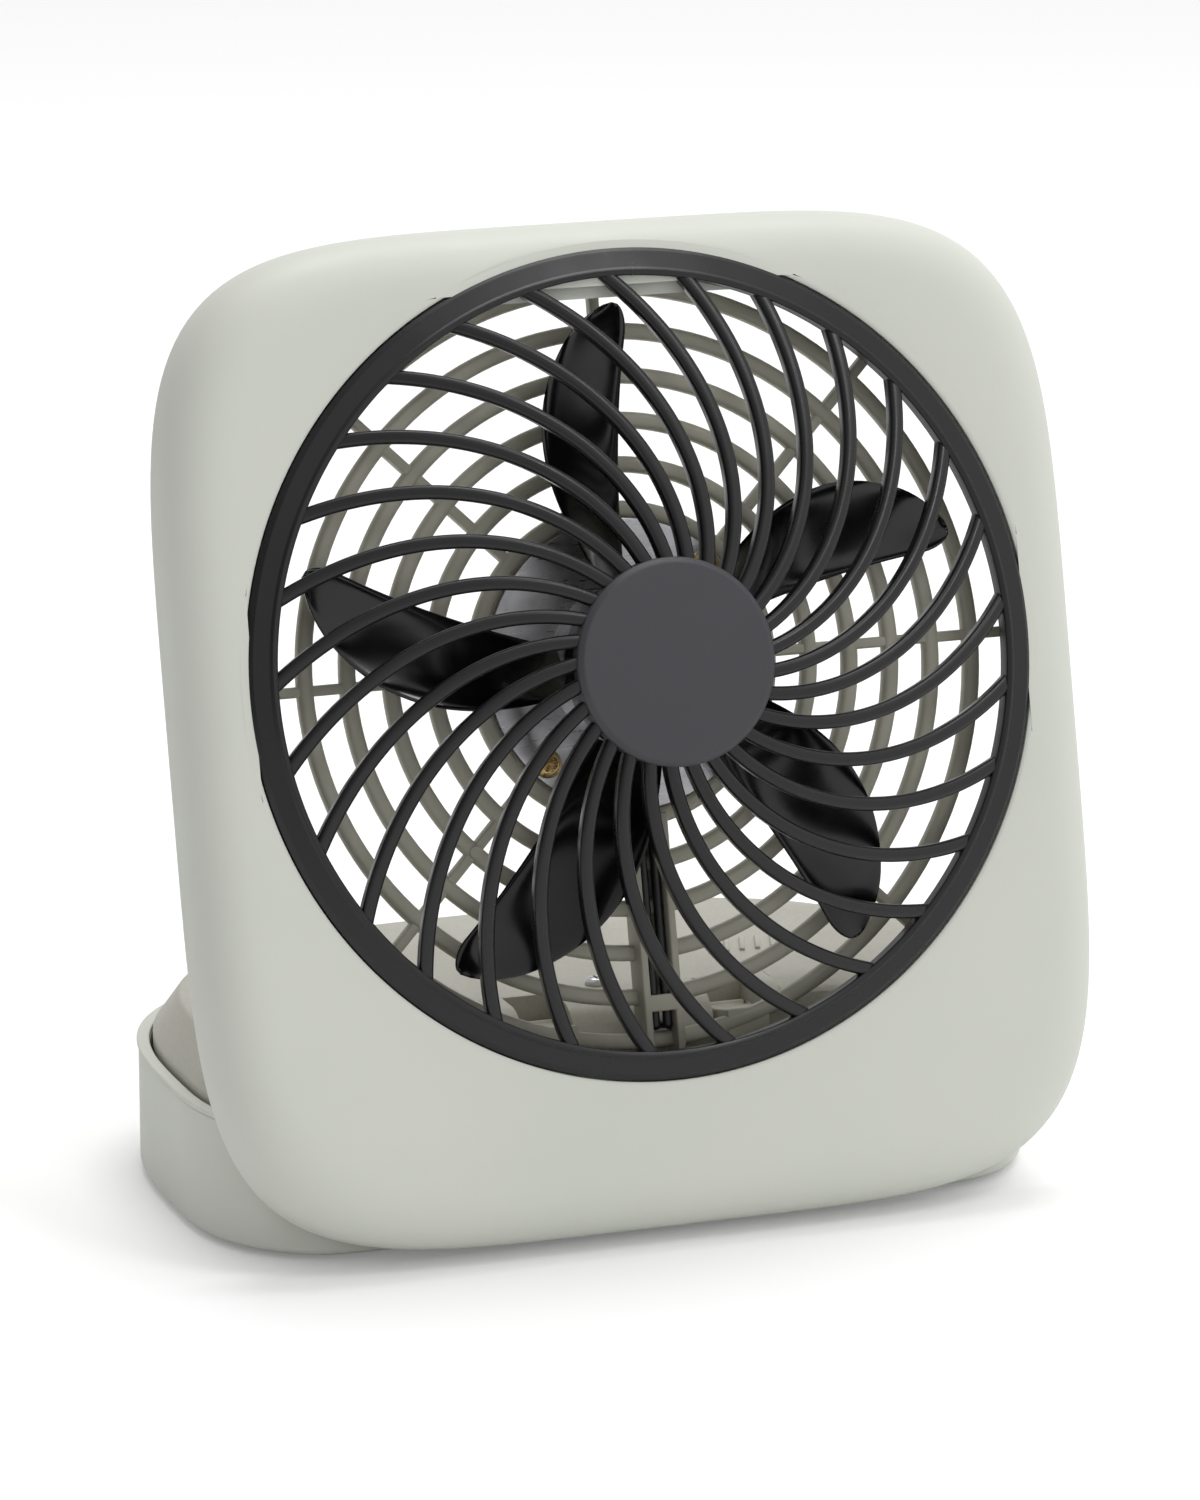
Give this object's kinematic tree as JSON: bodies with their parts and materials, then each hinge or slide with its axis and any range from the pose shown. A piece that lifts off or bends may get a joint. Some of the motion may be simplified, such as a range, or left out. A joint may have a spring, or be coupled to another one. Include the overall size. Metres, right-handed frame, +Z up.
{
  "type": "portable battery fan",
  "caption": "Square-headed portable fan with a domed swirl grille, leaning back on a D-shaped battery stand that it folds down onto.",
  "frame": {"origin": "centre of the bounding box on the surface that the rubber feet stand on", "axes": "+Z up, -Y out of the grille towards the user, +X to the right as the user facing the grille sees it"},
  "size_m": [0.168, 0.1172, 0.1753],
  "materials": {
    "shell_plastic": "fine matt moulded ABS",
    "back_plastic": "matt moulded ABS",
    "grille_plastic": "satin black moulded plastic",
    "blade_plastic": "polished black moulded plastic",
    "zinc_steel": "bright zinc plate",
    "brass_screw": "yellow passivated",
    "cell_wrap": "printed-film wrap, plain",
    "lead_pvc": "black PVC insulation",
    "foot_rubber": "moulded rubber"
  },
  "bodies": {
    "stand": {"stand_tub": "shell_plastic", "stand_lid": "back_plastic", "hinge_block": "back_plastic", "lid_screws": "zinc_steel", "hinge_washers": "zinc_steel", "cells": "cell_wrap", "spring_contact": "zinc_steel", "plate_contact": "zinc_steel", "stand_screws": "zinc_steel", "feet": "foot_rubber", "switch_body": "grille_plastic", "stand_leads": "lead_pvc"},
    "head": {"front_shell": "shell_plastic", "front_grille": "grille_plastic", "rear_shell": "back_plastic", "motor_plate_screws": "brass_screw", "case_screws": "zinc_steel", "motor": "zinc_steel", "motor_clamp": "back_plastic", "head_leads": "lead_pvc", "hinge_pin": "zinc_steel"},
    "rotor": {"impeller": "blade_plastic", "motor_shaft": "zinc_steel"},
    "door": {"battery_door": "shell_plastic"},
    "knob": {"switch_knob": "grille_plastic"}
  },
  "joints": [
    {"name": "head_tilt", "type": "hinge", "parent": "stand", "child": "head", "pos_m": [0, -0.02936, 0.0315], "axis": [-1, 0, 0], "range_deg": [0, 76.4]},
    {"name": "rotor_spin", "type": "hinge", "parent": "head", "child": "rotor", "pos_m": [0, -0.0372, 0.10117], "axis": [0, 0.972, -0.2351], "continuous": true},
    {"name": "door_lift", "type": "slide", "parent": "stand", "child": "door", "axis": [0, 0, -1], "range_m": [0, 0.02]},
    {"name": "switch_slide", "type": "slide", "parent": "stand", "child": "knob", "axis": [1, 0, 0], "range_m": [-0.004, 0.004]}
  ]
}
